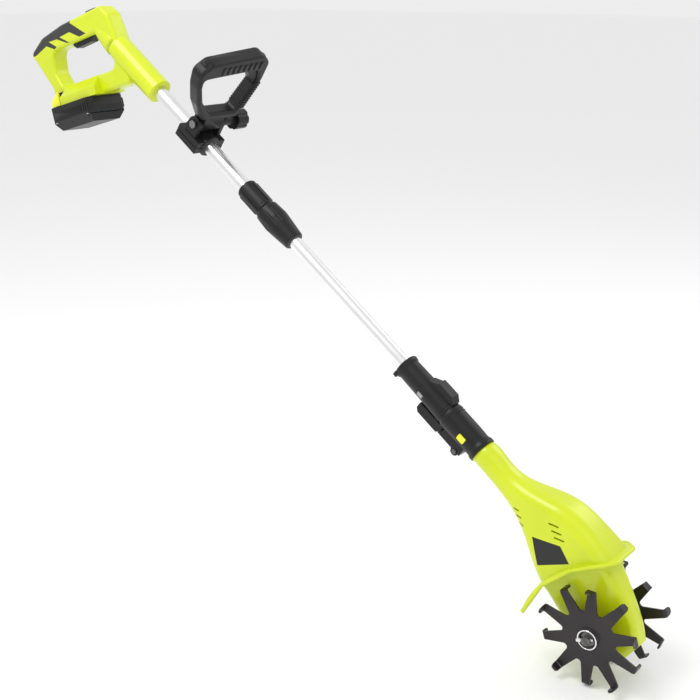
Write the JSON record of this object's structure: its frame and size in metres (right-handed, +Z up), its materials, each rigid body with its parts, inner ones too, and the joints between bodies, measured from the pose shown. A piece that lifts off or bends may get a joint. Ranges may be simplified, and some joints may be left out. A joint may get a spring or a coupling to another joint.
{
  "type": "battery mini cultivator",
  "caption": "Hand-held battery cultivator: rear grip with slide-on battery, telescopic shaft with loop handle, quick coupling and a geared head that spins folded tine wheels",
  "frame": {"origin": "centre of the tine axle, midway between the two tine wheels", "axes": "X level and forward towards the tines, Y level to the tool's left, along the axle, Z up; the shaft slopes down by 35.6 degrees as in use"},
  "size_m": [1.1905, 0.1471, 0.8383],
  "materials": {
    "lime_plastic": "moulded, satin gloss",
    "lime_button": "moulded, satin",
    "soft_grip": "soft overmould, fine grain",
    "black_plastic": "moulded, fine grain",
    "silver_tube": "bright drawn tube, clear finish",
    "black_steel": "black enamel on pressed plate",
    "bright_pin": "bright plated wire",
    "steel": "zinc plated",
    "magnet": "sintered",
    "board_green": "solder mask",
    "contact_brass": "machined",
    "cell_wrap": null,
    "lamp_white": "diffuser",
    "label_black": "plain film, no print"
  },
  "bodies": {
    "handle": {"handle_shell_right": "lime_plastic", "handle_shell_left": "lime_plastic", "grip_overmould": "soft_grip", "handle_screws": "steel", "power_switch": "black_plastic", "control_board": "board_green", "terminal_block": "black_plastic", "terminal_blades": "contact_brass", "trigger_spring": "steel", "upper_tube": "silver_tube", "collar_body": "black_plastic", "collar_wedge": "black_plastic"},
    "trigger": {"trigger": "black_plastic"},
    "lock_off": {"lock_off_button": "black_plastic"},
    "battery": {"battery_case_lower": "black_plastic", "battery_case_upper": "black_plastic", "battery_cells": "cell_wrap", "battery_lamps": "lamp_white", "battery_screws": "steel"},
    "gauge": {"gauge_button": "lime_button"},
    "release_right": {"release_button_right": "lime_button"},
    "release_left": {"release_button_left": "lime_button"},
    "sleeve": {"lock_sleeve": "black_plastic"},
    "clamp": {"clamp_saddle": "black_plastic", "clamp_cap": "black_plastic", "clamp_screws": "steel", "loop_bolt": "steel"},
    "loop": {"loop_handle": "black_plastic"},
    "knob": {"loop_knob": "black_plastic"},
    "lower_shaft": {"lower_tube": "silver_tube", "tube_pin": "steel", "coupling_socket": "black_plastic"},
    "head": {"coupling_sleeve": "black_plastic", "motor_housing_right": "lime_plastic", "motor_housing_left": "lime_plastic", "side_labels": "label_black", "housing_screws": "steel", "tine_guard": "lime_plastic", "gearbox_right": "lime_plastic", "gearbox_left": "lime_plastic", "axle_bushes": "contact_brass", "shaft_bearings": "steel", "gearbox_screws": "steel", "motor_can": "steel", "motor_magnets": "magnet"},
    "lever": {"coupling_lever": "black_plastic", "lever_pin": "steel"},
    "catch": {"coupling_button": "lime_button"},
    "motor": {"motor_shaft": "steel", "worm": "steel", "motor_core": "steel", "cooling_fan": "black_plastic"},
    "tines": {"tine_axle": "steel", "worm_wheel": "contact_brass", "wheel_hub_right": "black_steel", "wheel_hub_left": "black_steel", "tine_wheel_right": "black_steel", "tine_wheel_left": "black_steel", "hub_washers": "black_steel", "hitch_pins": "bright_pin"}
  },
  "joints": [
    {"name": "trigger_pull", "type": "hinge", "parent": "handle", "child": "trigger", "pos_m": [-0.96414, 0, 0.72361], "axis": [0, 1, 0], "range_deg": [0, 6], "stiffness_Nm_per_rad": 1.5, "springref_deg": -2.86, "deforming": ["trigger_spring"]},
    {"name": "lock_off_press", "type": "slide", "parent": "handle", "child": "lock_off", "axis": [0.2605, 0, -0.9655], "range_m": [0, 0.003], "stiffness_N_per_m": 250, "springref_m": -0.002},
    {"name": "battery_slide", "type": "slide", "parent": "handle", "child": "battery", "axis": [-0.9655, 0, -0.2605], "range_m": [0, 0.11]},
    {"name": "gauge_press", "type": "slide", "parent": "battery", "child": "gauge", "axis": [0.9655, 0, 0.2605], "range_m": [0, 0.001], "stiffness_N_per_m": 500, "springref_m": -0.001},
    {"name": "release_right_press", "type": "slide", "parent": "battery", "child": "release_right", "axis": [0, 1, 0], "range_m": [0, 0.0022], "stiffness_N_per_m": 400, "springref_m": -0.001},
    {"name": "release_left_press", "type": "slide", "parent": "battery", "child": "release_left", "axis": [0, -1, 0], "range_m": [0, 0.0022], "stiffness_N_per_m": 400, "springref_m": -0.001},
    {"name": "lock_sleeve_turn", "type": "hinge", "parent": "handle", "child": "sleeve", "pos_m": [-0.55982, 0, 0.45491], "axis": [0.8131, 0, -0.5821], "range_deg": [0, 90]},
    {"name": "clamp_slide", "type": "slide", "parent": "handle", "child": "clamp", "axis": [0.8131, 0, -0.5821], "range_m": [-0.06, 0.07]},
    {"name": "loop_tilt", "type": "hinge", "parent": "clamp", "child": "loop", "pos_m": [-0.71102, 0, 0.59759], "axis": [0, 1, 0], "range_deg": [-20, 35]},
    {"name": "knob_turn", "type": "hinge", "parent": "clamp", "child": "knob", "pos_m": [-0.71102, 0.06, 0.59759], "axis": [0, 1, 0], "continuous": true},
    {"name": "shaft_slide", "type": "slide", "parent": "handle", "child": "lower_shaft", "axis": [0.8131, 0, -0.5821], "range_m": [-0.145, 0.15]},
    {"name": "head_release", "type": "slide", "parent": "lower_shaft", "child": "head", "axis": [0.8131, 0, -0.5821], "range_m": [0, 0.05]},
    {"name": "lever_open", "type": "hinge", "parent": "head", "child": "lever", "pos_m": [-0.23636, 0, 0.18521], "axis": [0, -1, 0], "range_deg": [0, 60]},
    {"name": "catch_press", "type": "slide", "parent": "head", "child": "catch", "axis": [0, 1, 0], "range_m": [0, 0.0016], "stiffness_N_per_m": 400, "springref_m": -0.001},
    {"name": "tine_spin", "type": "hinge", "parent": "head", "child": "tines", "pos_m": [0, 0, 0], "axis": [0, 1, 0], "continuous": true},
    {"name": "motor_spin", "type": "hinge", "parent": "head", "child": "motor", "pos_m": [0.01589, 0, 0.0222], "axis": [0.8131, 0, -0.5821], "continuous": true}
  ],
  "couplings": [
    {"joint": "motor_spin", "follows": "tine_spin", "ratio": 36}
  ]
}
